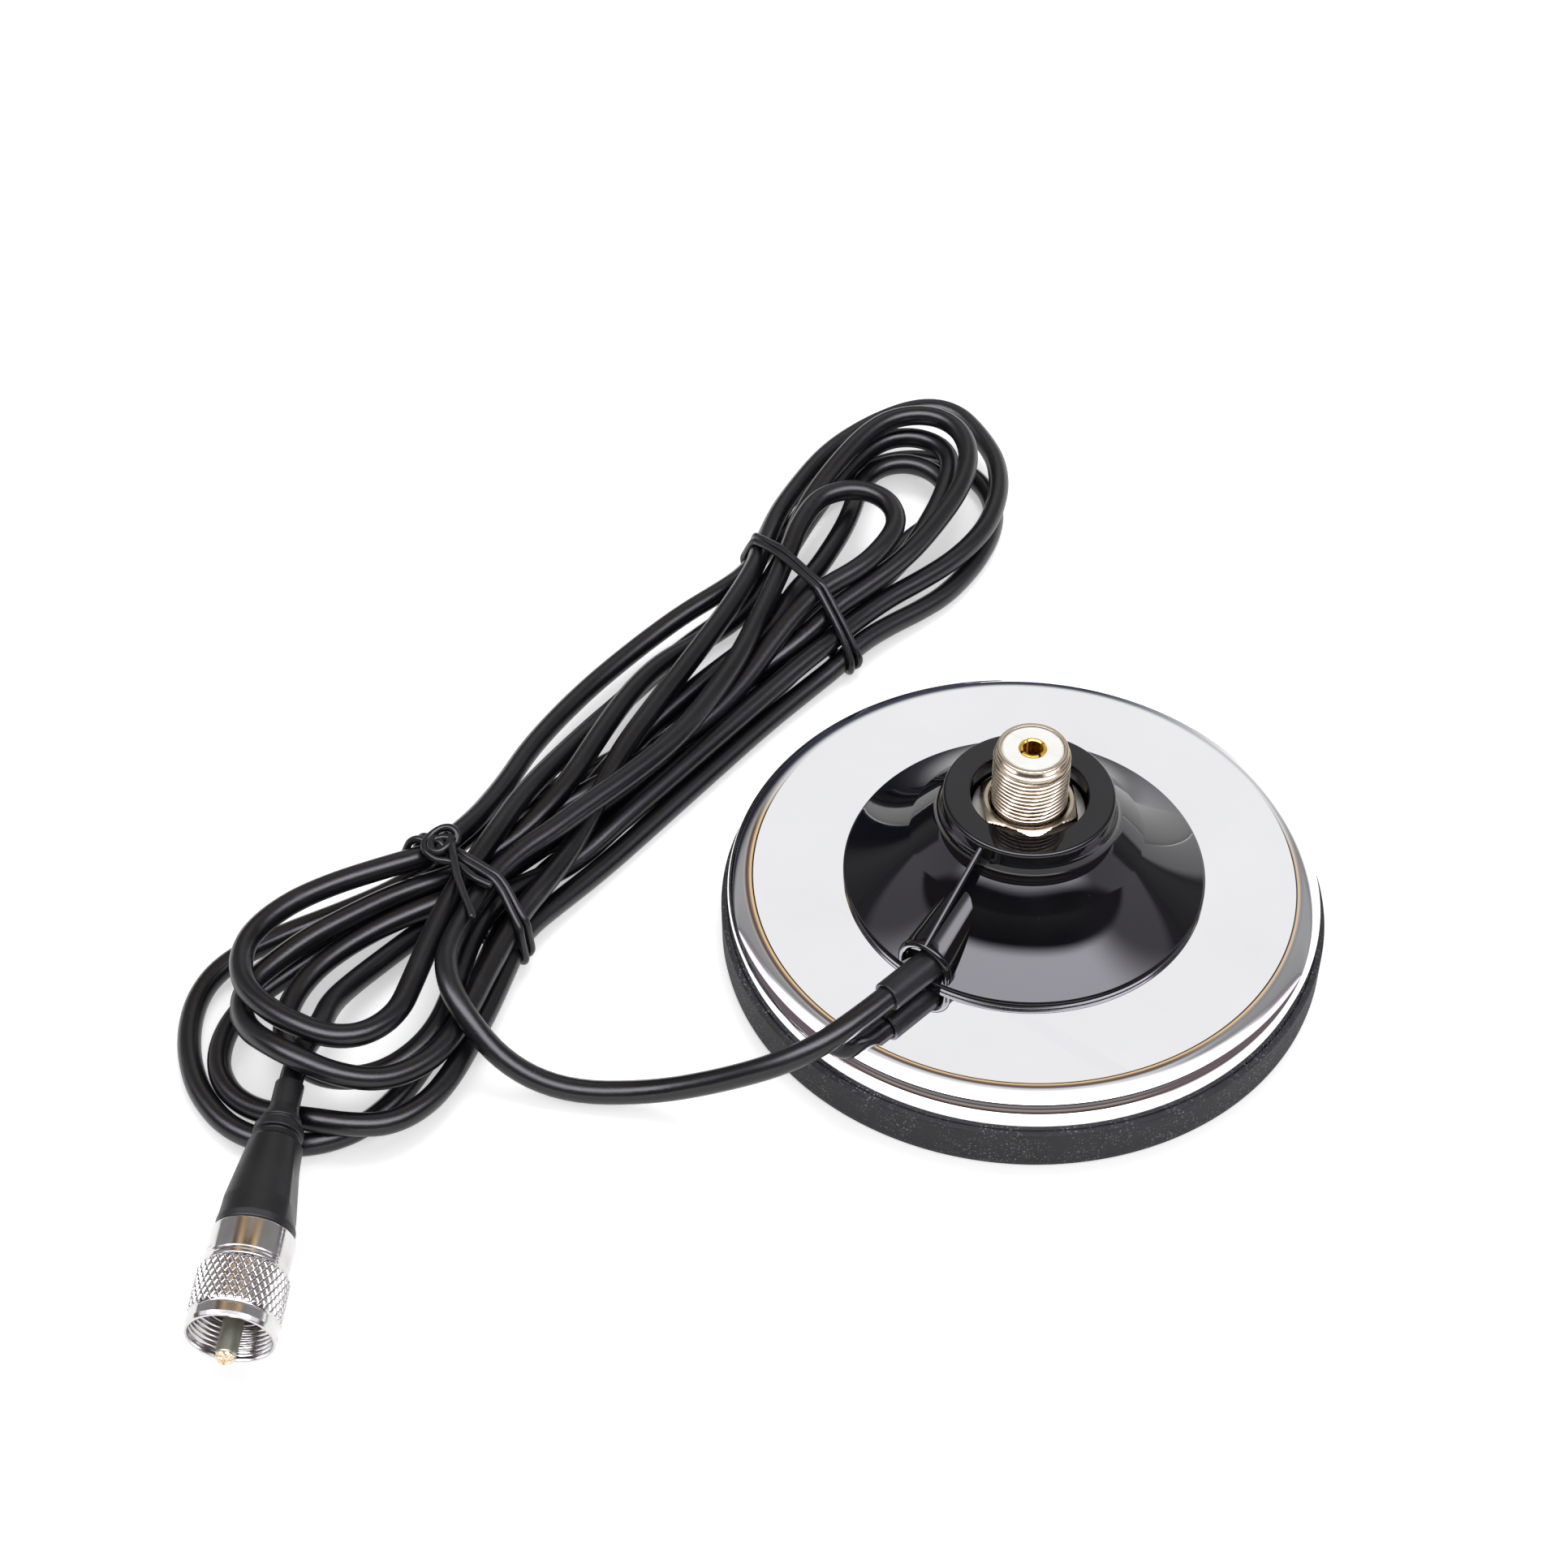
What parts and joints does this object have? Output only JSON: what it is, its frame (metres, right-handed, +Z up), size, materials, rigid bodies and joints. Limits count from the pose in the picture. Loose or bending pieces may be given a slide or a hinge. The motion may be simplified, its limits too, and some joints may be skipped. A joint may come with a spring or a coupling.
{
  "type": "magnetic antenna mount base",
  "caption": "Magnetic base with chrome disc, rubber ring, black cone, screw-on antenna socket and a tied hank of coax ending in a screw-ring coax plug.",
  "frame": {"origin": "middle of the rubber foot's underside, under the socket axis", "axes": "+Z up along the socket axis, -Y out through the cable duct, +X to the right of someone looking at the duct"},
  "size_m": [0.1937, 0.3175, 0.0547],
  "materials": {
    "chrome_plate": "mirror polished",
    "cone_black": "gloss black, nearly a mirror",
    "boot_rubber": "matte with pale dust specks",
    "nickel_socket": "nickel plate with a warm tint",
    "nickel_plug": "nickel plate, slightly worn",
    "gold_contact": "gold plated",
    "white_insulator": "satin",
    "steel_zinc": "zinc plated, satin",
    "magnet_ferrite": "matte",
    "jacket_black": "satin",
    "sleeve_black": "matte",
    "tie_black": "satin",
    "pin_solder": "dull nickel with a solder tip",
    "copper_wire": "bare copper"
  },
  "bodies": {
    "base": {"rubber_boot": "boot_rubber", "chrome_cup": "chrome_plate", "ring_magnet": "magnet_ferrite", "centre_screw": "steel_zinc", "spring_washer": "steel_zinc", "pillar": "nickel_socket", "ground_lug": "steel_zinc", "socket_shell": "nickel_socket", "socket_insulator": "white_insulator", "socket_contact": "gold_contact", "flat_washer": "steel_zinc", "hex_nut": "nickel_socket", "cone_cover": "cone_black", "strain_sleeve": "sleeve_black", "coax_entry": "jacket_black", "coax_dielectric": "white_insulator", "coax_conductor": "copper_wire", "braid_tail": "copper_wire", "coax_lead": "jacket_black", "coax_hank": "jacket_black", "lower_tie": "tie_black", "upper_tie": "tie_black", "plug_body": "nickel_plug", "plug_insulator": "white_insulator", "plug_pin": "pin_solder", "plug_boot": "sleeve_black", "coax_plug_end": "jacket_black", "coax_tail": "jacket_black"},
    "ring": {"coupling_ring": "nickel_plug"}
  },
  "joints": [
    {"name": "ring_turn", "type": "hinge", "parent": "base", "child": "ring", "pos_m": [-0.0571, -0.1807, 0.00905], "axis": [0.5358, -0.8425, -0.056], "continuous": true}
  ]
}
